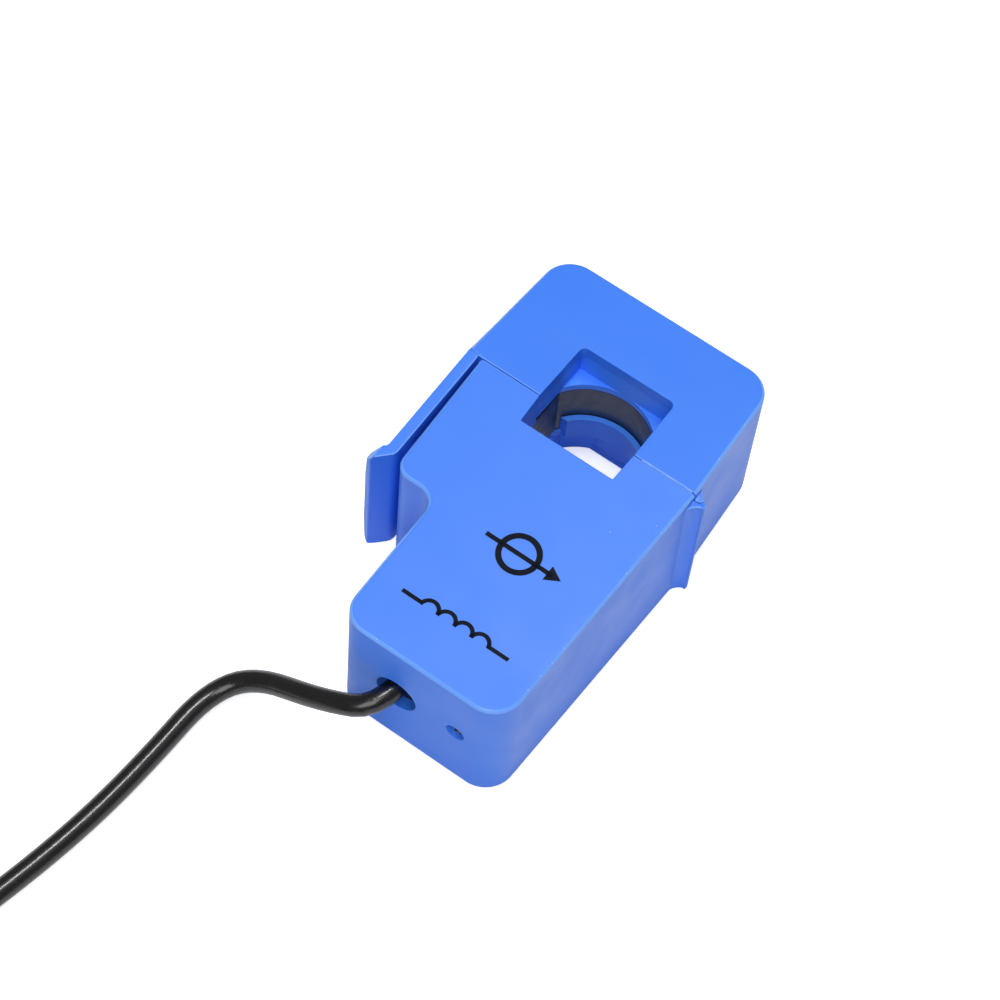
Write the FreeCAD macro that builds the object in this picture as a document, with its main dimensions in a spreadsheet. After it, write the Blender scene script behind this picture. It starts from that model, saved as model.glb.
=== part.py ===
# Split-core current transformer: clip-on housing, hinged cap, ferrite core, winding, cord and plug.
# Millimetres. +X towards the hinge, +Y towards the cap, +Z up; the base lies on the plane z = 0.
# Housing and cap are drawn round the axis of the window, with the seam at y = 0, then moved by
# the shift so that the origin is the middle of the base.
import math
import os

import FreeCAD
import Part
import Sketcher

os.makedirs("parts", exist_ok=True)
doc = FreeCAD.newDocument("current_transformer")
vector = FreeCAD.Vector

sizes = doc.addObject("Spreadsheet::Sheet", "sizes")
values = {
    # housing outline
    "near": 37.9, "far": 19.1, "thick": 21.82, "fall_near": 0.78, "fall_far": 0.66,
    "skin": 1.6, "edge_break": 0.35, "gap": 0.12,
    "right_seam": 15.68, "right_near": 14.62, "left_seam": 15.45, "left_shoulder": 14.9,
    "shoulder_y": 18.6, "waist": 8.6, "waist_near": 8.55, "corner_near": 4.0, "corner_cord": 3.4,
    "shoulder_round": 2.2, "scoop_round": 2.4,
    # cap outline
    "cap_left": 17.4, "cap_left_far": 16.45, "cap_right_far": 14.81, "corner_far": 4.0,
    # latch arm and thumb tab
    "arm": 1.5, "arm_tip": 17.3, "tab_out": 18.95, "tab_top": 16.4, "tab_low": 19.1, "tab_bend": 1.5,
    "tab_round": 1.6, "tab_round_top": 0.9, "tab_belly": 0.3, "tab_cheek": 1.0, "tab_back": 1.15, "tab_edge": 0.45, "sliver": 0.02,
    "nose_low": 4.0, "nose_drop": 4.02, "nose_x": 14.7, "nose_y": 13.4, "nose_run": 1.7, "nose_flat": 0.2,
    "recess_run": 3.5, "latch_play": 0.3,
    # window
    "win": 6.85, "win_far": 6.71, "win_near": 6.65, "win_y_far": 9.04, "win_y_near": 4.21, "win_round": 0.8,
    # hinge
    "bead_x": 16.85, "bead": 0.4, "bead_play": 0.08, "flare_drop": 1.42, "flare": 2.07, "flare_y": 2.3,
    "flare_root": 0.5, "flare_step": 0.07,
    # core
    "core_low": 6.5, "above_core": 6.52, "leg_in": 7.0, "leg_out": 13.1, "yoke_top": 8.5, "yoke_low": 14.6,
    "arch_y": 9.15, "arch": 8.2, "arch_side": 5.22, "cap_yoke": 15.3, "pole_gap": 0.03, "core_round": 2.0,
    # inner frames
    "frame_play": 0.05, "frame_wall": 1.15, "flange": 1.1, "lip_top": 9.4, "lip_y": 8.35, "lip": 7.2,
    "lip_foot": 5.64, "lip_wide": 6.6, "ledge": 1.0, "ledge_less": 0.3, "ear_root": 0.5, "ear_play": 0.2,
    # winding
    "bobbin_wall": 0.8, "bobbin_half": 6.9, "flange_y_top": 5.6, "flange_y_low": 17.3, "cheek_rise": 3.2,
    "bobbin_play": 0.1, "coil_half": 5.9, "coil_y_top": 6.1, "coil_y_low": 16.9, "winding_rise": 2.5,
    "tape_half": 3.4, "tape": 0.15,
    # cord end
    "cord_x": 0.1, "cord_z": 10.9, "cord_hole": 2.8, "screw_x": 8.6, "screw_z": 11.2, "screw_hole": 1.25,
    "screw_sink": 1.0, "shank": 0.6, "shank_play": 0.12, "screw_head": 1.1, "head_tall": 0.7, "screw_long": 5.0,
    "clamp_left": 6.2, "clamp_right": 12.4, "clamp_long": 5.05, "clamp_low": 6.6, "clamp_high": 15.2,
    "clamp_play": 0.05, "clamp_slit": 0.5, "cord_play": 0.03,
    # board
    "pin_left_x": -3.4, "pin_right_x": 7.0, "pin_inset": 0.8, "pin": 0.4, "pin_tall": 2.4,
    "diode_x": 2.0, "diode_off": 0.8, "diode": 1.35, "diode_half": 2.6, "diode_reach": 1.6, "diode_lead": 0.38,
    "lead": 0.2, "conductor": 0.5, "winding_round": 1.2, "spring_half": 10.5, "spring": 0.3,
    "spring_play": 0.03, "spring_inset": 1.4, "tie": 0.6, "tie_wide": 4.0,
    "board_low": 5.0, "board": 1.2, "board_left": 5.0, "board_right": 9.5, "board_top": 20.2, "board_gap": 7.7,
    "rib": 1.2, "rib_inset": 1.0, "sunk": 0.2,
    # cord
    "cord": 1.4, "coil_inner": 6.6, "coil_outer": 20.6, "coil_tall": 5.6, "coil_x": -8.325, "coil_y": -115.4,
    # plug, along its own axis from the end of the cord
    "plug_x": 14.775, "plug_y": -108.0, "plug_z": 4.0, "plug_turn": 70.0,
    "boot_long": 9.0, "boot_thin": 2.1, "boot_thick": 2.9, "handle_long": 16.0, "handle": 4.0, "handle_edge": 0.4,
    "collar_long": 1.2, "collar": 2.6, "contact": 1.75, "sleeve_long": 6.2, "insulator_long": 0.8, "insulator": 1.55,
    "ring_long": 2.2, "tip_long": 4.0, "tip_neck": 1.3, "tip_bulge": 1.7, "tip_end": 0.6,
    # worked out from the sizes above: the place of the drawing axes, then levels and stations
    "shift_x": "=(tab_out - bead_x - bead) / 2", "shift_y": "=(near - far) / 2",
    "thick_near": "=thick - fall_near", "thick_far": "=thick - fall_far",
    "tab_side": "=tab_out - tab_belly", "tab_half": "=thick / 2 - tab_round",
    "tab_sweep": "=(tab_half^2 + tab_belly^2) / (2 * tab_belly)",
    "nose_high": "=thick - nose_drop", "flare_high": "=thick - flare_drop",
    "core_high": "=thick - above_core", "flange_low": "=core_low - cheek_rise", "flange_high": "=core_high + cheek_rise",
    "coil_low": "=core_low - winding_rise", "coil_high": "=core_high + winding_rise",
    "lip_half": "=sqrt(lip^2 - (lip_foot - lip_y + lip)^2)",
    "spring_rise": "=far - skin - spring - cap_yoke - spring_play",
    "spring_bow": "=(spring_half^2 + spring_rise^2) / (2 * spring_rise)",
    "clamp_top": "=near - skin - clamp_long - clamp_play", "board_near": "=near - board_gap",
    "pin_y": "=board_top + pin_inset", "diode_y": "=(board_top + board_near) / 2 - diode_off",
    "handle_end": "=boot_long + handle_long", "collar_end": "=handle_end + collar_long",
    "sleeve_end": "=collar_end + sleeve_long", "ring_start": "=sleeve_end + insulator_long",
    "ring_end": "=ring_start + ring_long", "tip_start": "=ring_end + insulator_long",
    "tip_stop": "=tip_start + tip_long",
}
for row, (name, value) in enumerate(values.items(), start=1):
    sizes.set(f"A{row}", name)
    sizes.set(f"B{row}", str(value))
    sizes.setAlias(f"B{row}", name)
doc.recompute()

axes = vector(float(sizes.shift_x), float(sizes.shift_y), 0)
nodes = []


def bound(text):
    """The expression with every sheet name written out in full."""
    words = []
    word = ""
    for letter in text + " ":
        if letter.isalnum() or letter in "_.":
            word += letter
            continue
        words.append(f"sizes.{word}" if word in values else word)
        words.append(letter)
        word = ""
    return "".join(words).strip()


def number(text):
    """The present value of an expression, used to start a sketch near its solution."""
    return float(sizes.evalExpression(bound(text)))


def newBody(name, x="0", y="0", z="0"):
    """An empty body whose own origin lies at x, y, z from the drawing axes."""
    body = doc.addObject("PartDesign::Body", name)
    body.Label = name
    body.setExpression(".Placement.Base.x", bound(f"shift_x + {x}"))
    body.setExpression(".Placement.Base.y", bound(f"shift_y + {y}"))
    body.setExpression(".Placement.Base.z", bound(z))
    nodes.append(body)
    return body


def newSketch(body, name, plane, offset="0"):
    sketch = body.newObject("Sketcher::SketchObject", name)
    origin = [f for f in body.Origin.OriginFeatures if f.Role == plane][0]
    sketch.AttachmentSupport = [(origin, "")]
    sketch.MapMode = "FlatFace"
    sketch.setExpression(".AttachmentOffset.Base.z", bound(offset))
    return sketch


def fix(sketch, geometry, point, x, y):
    """Hold one point of a sketch at two expressions."""
    for kind, text in (("DistanceX", x), ("DistanceY", y)):
        index = sketch.addConstraint(Sketcher.Constraint(kind, -1, 1, geometry, point, number(text)))
        sketch.setExpression(f"Constraints[{index}]", bound(text))


def outline(body, name, plane, corners, offset="0", arcs=None):
    """A closed outline through corners; arcs maps a side's number to (centre x, centre y, turn)."""
    sketch = newSketch(body, name, plane, offset)
    arcs = arcs or {}
    spots = [vector(number(x), number(y), 0) for x, y in corners]
    count = len(corners)
    for side in range(count):
        start, end = spots[side], spots[(side + 1) % count]
        if side in arcs:
            centre_x, centre_y, turn = arcs[side]
            centre = vector(number(centre_x), number(centre_y), 0)
            radius = (start - centre).Length
            first = math.atan2(start.y - centre.y, start.x - centre.x)
            last = math.atan2(end.y - centre.y, end.x - centre.x)
            if turn < 0:
                first, last = last, first
            circle = Part.Circle(centre, vector(0, 0, 1), radius)
            sketch.addGeometry(Part.ArcOfCircle(circle, first, last if last > first else last + 2 * math.pi))
        else:
            sketch.addGeometry(Part.LineSegment(start, end))
    for side in range(count):
        following = (side + 1) % count
        end_point = 1 if side in arcs and arcs[side][2] < 0 else 2
        start_point = 2 if following in arcs and arcs[following][2] < 0 else 1
        sketch.addConstraint(Sketcher.Constraint("Coincident", side, end_point, following, start_point))
    for side in range(count):
        start_point = 2 if side in arcs and arcs[side][2] < 0 else 1
        fix(sketch, side, start_point, *corners[side])
        if side in arcs:
            chord = spots[(side + 1) % count] - spots[side]
            kind, text = ("DistanceX", arcs[side][0]) if abs(chord.x) < abs(chord.y) else ("DistanceY", arcs[side][1])
            index = sketch.addConstraint(Sketcher.Constraint(kind, -1, 1, side, 3, number(text)))
            sketch.setExpression(f"Constraints[{index}]", bound(text))
    return sketch


def circle(body, name, plane, x, y, radius, offset="0"):
    sketch = newSketch(body, name, plane, offset)
    sketch.addGeometry(Part.Circle(vector(number(x), number(y), 0), vector(0, 0, 1), number(radius)))
    fix(sketch, 0, 3, x, y)
    index = sketch.addConstraint(Sketcher.Constraint("Radius", 0, number(radius)))
    sketch.setExpression(f"Constraints[{index}]", bound(radius))
    return sketch


def pad(body, sketch, length, back=False, middle=False):
    feature = body.newObject("PartDesign::Pad", sketch.Name + "_pad")
    feature.Profile = sketch
    feature.setExpression("Length", bound(length))
    feature.Reversed = back
    feature.Midplane = middle
    body.Tip = feature
    doc.recompute()
    return feature


def pocket(body, sketch, length, back=False, middle=False):
    feature = body.newObject("PartDesign::Pocket", sketch.Name + "_cut")
    feature.Profile = sketch
    feature.setExpression("Length", bound(length))
    feature.Reversed = back
    feature.Midplane = middle
    body.Tip = feature
    before = body.Shape.Volume
    doc.recompute()
    if body.Shape.Volume > before - 1e-4:
        raise ValueError(f"{sketch.Name} cuts nothing")
    return feature


def edgesAt(body, spots, axis="Z"):
    """Names of the edges that run along one axis at the given places in the other two directions."""
    found = []
    first, second = {"Z": ("x", "y"), "X": ("y", "z"), "Y": ("x", "z")}[axis]
    for number_of, edge in enumerate(body.Tip.Shape.Edges, start=1):
        lengths = {"x": edge.BoundBox.XLength, "y": edge.BoundBox.YLength, "z": edge.BoundBox.ZLength}
        if lengths[axis.lower()] < 1.0 or lengths[first] + lengths[second] > 0.2:
            continue
        middle = edge.BoundBox.Center
        for one, two in spots:
            if math.hypot(getattr(middle, first) - number(one), getattr(middle, second) - number(two)) < 0.1:
                found.append(f"Edge{number_of}")
    return found


def dressEdges(body, name, edges, kind, size_name, text):
    """A fillet or chamfer on the named edges of the body's present shape."""
    base = body.Tip
    feature = body.newObject(kind, name)
    feature.Base = (base, edges)
    feature.setExpression(size_name, bound(text))
    body.Tip = feature
    doc.recompute()
    if "Invalid" in feature.State or feature.Shape.isNull():
        raise ValueError(f"{name} failed")


def roundEdges(body, name, edges, radius):
    dressEdges(body, name, edges, "PartDesign::Fillet", "Radius", radius)


def breakEdges(body, name, edges, width):
    dressEdges(body, name, edges, "PartDesign::Chamfer", "Size", width)


def faceEdges(body, test):
    """Edges of the faces that pass test, leaving out those that lie in the seam."""
    names = []
    shape = body.Tip.Shape
    for face in shape.Faces:
        if not test(face):
            continue
        for edge in face.OuterWire.Edges:
            if max(abs(edge.BoundBox.YMin), abs(edge.BoundBox.YMax)) < number("gap"):
                continue
            for number_of, candidate in enumerate(shape.Edges, start=1):
                if candidate.isSame(edge):
                    names.append(f"Edge{number_of}")
    return sorted(set(names))


def isTop(face):
    return face.Surface.TypeId == "Part::GeomPlane" and face.normalAt(0, 0).z > 0.9 and face.Area > 150


def isBase(face):
    return face.Surface.TypeId == "Part::GeomPlane" and face.normalAt(0, 0).z < -0.9 and face.BoundBox.ZMax < 0.01


def slopeTop(body, name, side, fall):
    """Cut the mould's draft: the top falls from the seam towards the end of the shell."""
    reach = side * 50.0
    run = "near" if side < 0 else "far"
    end = f"thick - {fall} / {run} * 50"
    corners = [("0", "thick"), (str(reach), end), (str(reach), "thick + 5"), ("0", "thick + 5")]
    if side > 0:
        corners.reverse()
    pocket(body, outline(body, name, "YZ_Plane", corners), "100", middle=True)


# Housing: the lower shell that the cord enters.
def makeHousing():
    body = newBody("housing")
    plan = outline(body, "housing_plan", "XY_Plane", [
        ("right_seam", "-gap / 2"), ("-left_seam", "-gap / 2"), ("-left_shoulder", "-shoulder_y"),
        ("-waist", "-shoulder_y"), ("-waist_near", "-near"), ("right_near", "-near")])
    pad(body, plan, "thick")
    roundEdges(body, "housing_shoulder", edgesAt(body, [("-left_shoulder", "-shoulder_y")]), "shoulder_round")
    roundEdges(body, "housing_scoop", edgesAt(body, [("-waist", "-shoulder_y")]), "scoop_round")
    roundEdges(body, "housing_cord_corner", edgesAt(body, [("-waist_near", "-near")]), "corner_cord")
    roundEdges(body, "housing_near_corner", edgesAt(body, [("right_near", "-near")]), "corner_near")
    slopeTop(body, "housing_draft", -1, "fall_near")
    breakEdges(body, "housing_top_edge", faceEdges(body, isTop), "edge_break")
    breakEdges(body, "housing_base_edge", faceEdges(body, isBase), "edge_break")
    hollow = outline(body, "housing_hollow", "XY_Plane", [
        ("right_seam - skin", "1"), ("-left_seam + skin", "1"), ("-left_shoulder + skin", "-shoulder_y + skin"),
        ("-waist + skin", "-shoulder_y + skin"), ("-waist_near + skin", "-near + skin"),
        ("right_near - skin", "-near + skin")], "skin")
    pocket(body, hollow, "thick_near - 2 * skin", back=True)
    window = outline(body, "housing_window", "XY_Plane", [
        ("win", "1"), ("-win", "1"), ("-win_near", "-win_y_near"), ("win_near", "-win_y_near")], "-1")
    pocket(body, window, "thick + 5", back=True)
    recess = outline(body, "latch_recess", "XY_Plane", [
        ("-cap_left", "-nose_y + recess_run"), ("-cap_left", "-nose_y - nose_run"),
        ("-nose_x - latch_play", "-nose_y - nose_run"), ("-nose_x + latch_play", "-nose_y - nose_flat - latch_play"),
        ("-nose_x + latch_play", "-nose_y + nose_flat + latch_play")], "nose_low - latch_play")
    pocket(body, recess, "nose_high - nose_low + 2 * latch_play", back=True)
    flare = outline(body, "housing_flare", "XY_Plane", [
        ("right_seam - flare_root", "-gap / 2"), ("right_seam - flare_root", "-flare_y"),
        ("right_seam - flare_step", "-flare_y"), ("bead_x + bead * 0.62", "-bead * 0.8"), ("bead_x - bead / 2", "-gap / 2")],
        arcs={2: ("right_seam + flare - flare_step", "-flare_y", -1)})
    pad(body, flare, "flare_high")
    pad(body, circle(body, "hinge_bead", "XY_Plane", "bead_x", "0", "bead"), "flare_high")
    pocket(body, circle(body, "cord_hole", "XZ_Plane", "cord_x", "cord_z", "cord_hole", "near + 1"),
           "skin + 2")
    pocket(body, circle(body, "screw_hole", "XZ_Plane", "screw_x", "screw_z", "screw_hole", "near + 1"),
           "screw_sink + 1")
    pocket(body, circle(body, "shank_hole", "XZ_Plane", "screw_x", "screw_z", "shank + shank_play", "near + 1"),
           "skin + 2")
    for name, start in (("board_rib", "board_top + rib_inset"), ("board_post", "board_near - rib_inset - rib")):
        rib = outline(body, name, "XY_Plane", [
            ("right_near - skin + sunk", f"-({start})"), ("-waist + skin - sunk", f"-({start})"),
            ("-waist + skin - sunk", f"-({start}) - rib"), ("right_near - skin + sunk", f"-({start}) - rib")],
            "skin - sunk")
        pad(body, rib, "board_low - skin + sunk")
    return body


# Cap: the upper shell with the latch arm and its thumb tab, in one moulding.
def makeCap():
    body = newBody("cap")
    plan = outline(body, "cap_plan", "XY_Plane", [
        ("right_seam", "gap / 2"), ("cap_right_far", "far"), ("-cap_left_far", "far"),
        ("-cap_left", "gap / 2")])
    pad(body, plan, "thick")
    roundEdges(body, "cap_far_corners", edgesAt(body, [("cap_right_far", "far"), ("-cap_left_far", "far")]),
               "corner_far")
    slopeTop(body, "cap_draft", 1, "fall_far")
    breakEdges(body, "cap_top_edge", faceEdges(body, isTop), "edge_break")
    breakEdges(body, "cap_base_edge", faceEdges(body, isBase), "edge_break")
    arm = outline(body, "latch_arm", "XY_Plane", [
        ("-cap_left + arm", "gap * 3"), ("-cap_left + sliver", "gap * 3"), ("-cap_left", "gap / 2"),
        ("-arm_tip", "-tab_top"), ("-tab_out + tab_edge", "-tab_top - tab_back"),
        ("-tab_out", "-tab_low + tab_edge"), ("-tab_out + tab_cheek", "-tab_low"),
        ("-arm_tip + arm", "-tab_top - tab_edge")])
    pad(body, arm, "thick")
    roundEdges(body, "tab_bend_outside", edgesAt(body, [("-arm_tip + arm", "-tab_top - tab_edge")]), "tab_bend")
    roundEdges(body, "tab_bend_inside", edgesAt(body, [("-arm_tip", "-tab_top")]), "tab_bend / 2")
    roundEdges(body, "tab_rim", edgesAt(body, [
        ("-tab_out", "-tab_low + tab_edge"), ("-tab_out + tab_cheek", "-tab_low")]), "tab_edge / 2")
    ends = outline(body, "tab_ends", "XZ_Plane", [
        ("-tab_out - 1", "-1"), ("-tab_side + tab_round", "-1"), ("-tab_side + tab_round", "0"),
        ("-tab_side", "tab_round"), ("-tab_side", "thick - tab_round"), ("-tab_side + tab_round_top", "thick - tab_edge"),
        ("-tab_side + tab_round_top", "thick + 1"), ("-tab_out - 1", "thick + 1")], "tab_low + 1", arcs={
            2: ("-tab_side + tab_round", "tab_round", -1), 3: ("-tab_out + tab_sweep", "thick / 2", -1)})
    pocket(body, ends, "tab_low + 1 - tab_top")
    slopeTop(body, "arm_draft", -1, "fall_near")
    hollow = outline(body, "cap_hollow", "XY_Plane", [
        ("right_seam - skin", "-1"), ("cap_right_far - skin", "far - skin"),
        ("-cap_left_far + skin", "far - skin"), ("-cap_left + skin", "-1")], "skin")
    pocket(body, hollow, "thick_far - 2 * skin", back=True)
    window = outline(body, "cap_window", "XY_Plane", [
        ("win", "-1"), ("win_far", "win_y_far"), ("-win_far", "win_y_far"), ("-win", "-1")], "-1")
    pocket(body, window, "thick + 5", back=True)
    roundEdges(body, "cap_window_corners",
               edgesAt(body, [("win_far", "win_y_far"), ("-win_far", "win_y_far")]), "win_round")
    nose = outline(body, "latch_nose", "XY_Plane", [
        ("-arm_tip + arm / 2", "-nose_y + nose_run"), ("-arm_tip + arm / 2", "-nose_y - nose_run"),
        ("-nose_x", "-nose_y - nose_flat"), ("-nose_x", "-nose_y + nose_flat")], "nose_low")
    pad(body, nose, "nose_high - nose_low")
    flare = outline(body, "cap_flare", "XY_Plane", [
        ("right_seam - flare_root", "gap / 2"), ("bead_x - bead * 0.75", "gap / 2"), ("bead_x - bead / 4", "bead * 1.4"),
        ("right_seam - 2 * flare_step", "flare_y"), ("right_seam - flare_root", "flare_y")],
        arcs={2: ("right_seam + flare", "flare_y", -1)})
    pad(body, flare, "flare_high")
    pocket(body, circle(body, "bead_seat", "XY_Plane", "bead_x", "0", "bead + bead_play", "-1"),
           "flare_high + 2", back=True)
    return body


# Inner frames: they close each shell's mouth, line the window and hold the core.
def makeBodyFrame():
    body = newBody("body_frame")
    top = "thick_near - 2 * skin - 2 * frame_play"
    collar = outline(body, "lower_collar", "XY_Plane", [
        ("win + frame_wall", "-gap / 2"), ("win + frame_play", "-gap / 2"),
        ("win_near + frame_play", "-win_y_near - frame_play"), ("-win_near - frame_play", "-win_y_near - frame_play"),
        ("-win - frame_play", "-gap / 2"), ("-win - frame_wall", "-gap / 2"),
        ("-win - frame_wall", "-win_y_near - frame_wall"), ("win + frame_wall", "-win_y_near - frame_wall")],
        "skin + frame_play")
    pad(body, collar, top)
    for name, inner, outer in (("lower_ear_right", "win + ear_root", "right_seam - skin - ear_play"),
                               ("lower_ear_left", "-win - ear_root", "-left_seam + skin + ear_play")):
        ear = outline(body, name, "XY_Plane", [
            (inner, "-gap / 2"), (outer, "-gap / 2"), (outer, "-flange"), (inner, "-flange")], "skin + frame_play")
        pad(body, ear, top)
    for name, side in (("lower_leg_right", ""), ("lower_leg_left", "-")):
        leg = outline(body, name, "XY_Plane", [
            (f"{side}(leg_in - frame_play)", "1"), (f"{side}(leg_out + frame_play)", "1"),
            (f"{side}(leg_out + frame_play)", "-yoke_top"), (f"{side}(leg_in - frame_play)", "-yoke_top")],
            "core_low - frame_play")
        pocket(body, leg, "core_high - core_low + 2 * frame_play", back=True)
    throat = outline(body, "lower_throat", "XY_Plane", [
        ("leg_in + 2 * frame_play", "1"), ("leg_in + 2 * frame_play", "-win_y_near - frame_play"),
        ("-leg_in - 2 * frame_play", "-win_y_near - frame_play"), ("-leg_in - 2 * frame_play", "1")],
        "core_low - frame_play")
    pocket(body, throat, "core_high - core_low + 2 * frame_play", back=True)
    return body


def makeCapFrame():
    body = newBody("cap_frame")
    low = "skin + frame_play"
    top = "thick_far - 2 * skin - 2 * frame_play"
    centre = "arch_y - arch"
    collar = outline(body, "upper_collar", "XY_Plane", [
        ("win + frame_wall", "gap / 2"), ("win + frame_wall", "win_y_far + frame_wall"),
        ("-win - frame_wall", "win_y_far + frame_wall"), ("-win - frame_wall", "gap / 2"),
        ("-win - frame_play", "gap / 2"), ("-win_far - frame_play", "win_y_far + frame_play"),
        ("win_far + frame_play", "win_y_far + frame_play"), ("win + frame_play", "gap / 2")], low)
    pad(body, collar, top)
    for name, inner, outer in (("upper_ear_right", "win + ear_root", "right_seam - skin - ear_play"),
                               ("upper_ear_left", "-win - ear_root", "-cap_left + skin + ear_play")):
        ear = outline(body, name, "XY_Plane", [
            (inner, "gap / 2"), (outer, "gap / 2"), (outer, "flange"), (inner, "flange")], low)
        pad(body, ear, top)
    for name, level, radius in (("upper_ledge", "core_high + frame_play", "arch"),
                                ("lower_ledge", "core_low - ledge - frame_play", "arch - ledge_less")):
        plate = outline(body, name, "XY_Plane", [
            ("win + ear_root", "arch_side - ledge"), ("win + ear_root", "win_y_far + ear_root"),
            ("-win - ear_root", "win_y_far + ear_root"), ("-win - ear_root", "arch_side - ledge")], level)
        pad(body, plate, "ledge")
        pocket(body, circle(body, name + "_arch", "XY_Plane", "0", centre, radius, level), "ledge", back=True)
    core = outline(body, "upper_core_room", "XY_Plane", [
        ("leg_out + frame_play", "-1"), ("leg_out + frame_play", "cap_yoke + frame_play"),
        ("-leg_out - frame_play", "cap_yoke + frame_play"), ("-leg_out - frame_play", "-1")],
        "core_low - frame_play")
    pocket(body, core, "core_high - core_low + 2 * frame_play", back=True)
    lip = outline(body, "arch_lip", "XY_Plane", [
        ("lip_wide", "lip_foot"), ("-lip_wide", "lip_foot"), ("-lip_half", "lip_foot"), ("lip_half", "lip_foot")],
        "core_low - ledge - frame_play",
        arcs={0: ("0", centre, 1), 2: ("0", "lip_y - lip", -1)})
    pad(body, lip, "lip_top - core_low + ledge + frame_play")
    return body


# Ferrite core in two halves, ground flat where they meet.
def makeCores():
    body = newBody("core_lower")
    plan = outline(body, "lower_core_plan", "XY_Plane", [
        ("-leg_in", "0"), ("-leg_out", "0"), ("-leg_out", "-yoke_low"), ("leg_out", "-yoke_low"),
        ("leg_out", "0"), ("leg_in", "0"), ("leg_in", "-yoke_top"), ("-leg_in", "-yoke_top")], "core_low")
    pad(body, plan, "core_high - core_low")
    roundEdges(body, "lower_core_corners",
               edgesAt(body, [("-leg_out", "-yoke_low"), ("leg_out", "-yoke_low")]), "core_round")
    body = newBody("core_upper")
    plan = outline(body, "upper_core_plan", "XY_Plane", [
        ("-leg_in", "pole_gap"), ("-leg_out", "pole_gap"), ("-leg_out", "cap_yoke"), ("leg_out", "cap_yoke"),
        ("leg_out", "pole_gap"), ("leg_in", "pole_gap"), ("leg_in", "arch_side"), ("-leg_in", "arch_side")],
        "core_low", arcs={6: ("0", "arch_y - arch", 1)})
    pad(body, plan, "core_high - core_low")
    roundEdges(body, "upper_core_corners",
               edgesAt(body, [("-leg_out", "cap_yoke"), ("leg_out", "cap_yoke")]), "core_round")


# Leaf spring: a bowed steel strip that presses the upper core on to the lower one.
def makeSpring():
    body = newBody("core_spring")
    bow = outline(body, "spring_bow", "XY_Plane", [
        ("-spring_half", "far - skin - spring"), ("spring_half", "far - skin - spring"),
        ("spring_half", "far - skin"), ("-spring_half", "far - skin")],
        "core_low + spring_inset", arcs={
            0: ("0", "cap_yoke + spring_play + spring_bow", 1),
            2: ("0", "cap_yoke + spring_play + spring + spring_bow", -1)})
    pad(body, bow, "core_high - core_low - 2 * spring_inset")
    return body


# Bobbin in two halves that close round the yoke, each with a channel and two cheeks.
def makeBobbin():
    middle = "(core_low + core_high) / 2"
    halves = (("bobbin_top", middle, "core_high + bobbin_play", "core_high + bobbin_play + bobbin_wall", "flange_high"),
              ("bobbin_base", middle, "core_low - bobbin_play", "core_low - bobbin_play - bobbin_wall", "flange_low"))
    for name, split, inner, outer, cheek in halves:
        body = newBody(name)
        tube = outline(body, name + "_tube", "YZ_Plane", [
            ("-yoke_top + bobbin_play + bobbin_wall", split), ("-yoke_top + bobbin_play + bobbin_wall", outer),
            ("-yoke_low - bobbin_play - bobbin_wall", outer), ("-yoke_low - bobbin_play - bobbin_wall", split)])
        pad(body, tube, "2 * bobbin_half", middle=True)
        for side, start in (("right", "bobbin_half - bobbin_wall"), ("left", "-bobbin_half")):
            plate = outline(body, f"{name}_{side}", "YZ_Plane", [
                ("-flange_y_top", split), ("-flange_y_top", cheek), ("-flange_y_low", cheek),
                ("-flange_y_low", split)], start)
            pad(body, plate, "bobbin_wall")
        hole = outline(body, name + "_hole", "YZ_Plane", [
            ("-yoke_top + bobbin_play", f"{split}"), ("-yoke_top + bobbin_play", inner),
            ("-yoke_low - bobbin_play", inner), ("-yoke_low - bobbin_play", f"{split}")])
        pocket(body, hole, "4 * bobbin_half", middle=True)


def ring(name, spread, half, inside, rounded):
    """A rounded rectangular sleeve round the yoke; spread is added to the winding's outside."""
    body = newBody(name)
    outside = [(y, z) for y, z in (
        (f"-coil_y_top + {spread}", f"coil_low - {spread}"), (f"-coil_y_top + {spread}", f"coil_high + {spread}"),
        (f"-coil_y_low - {spread}", f"coil_high + {spread}"), (f"-coil_y_low - {spread}", f"coil_low - {spread}"))]
    pad(body, outline(body, name + "_outside", "YZ_Plane", outside), f"2 * {half}", middle=True)
    pocket(body, outline(body, name + "_inside", "YZ_Plane", inside), "4 * bobbin_half", middle=True)
    if rounded:
        roundEdges(body, name + "_inside_corners", edgesAt(body, inside, axis="X"), "winding_round")
    roundEdges(body, name + "_corners", edgesAt(body, outside, axis="X"), f"winding_round + {spread}")


def makeWinding():
    tube_high = "core_high + bobbin_play + bobbin_wall"
    tube_low = "core_low - bobbin_play - bobbin_wall"
    tube_top = "-yoke_top + bobbin_play + bobbin_wall"
    tube_near = "-yoke_low - bobbin_play - bobbin_wall"
    ring("winding", "0", "coil_half",
         [(tube_top, tube_low), (tube_top, tube_high), (tube_near, tube_high), (tube_near, tube_low)], False)
    ring("winding_tape", "tape", "tape_half",
         [("-coil_y_top", "coil_low"), ("-coil_y_top", "coil_high"), ("-coil_y_low", "coil_high"),
          ("-coil_y_low", "coil_low")], True)


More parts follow.
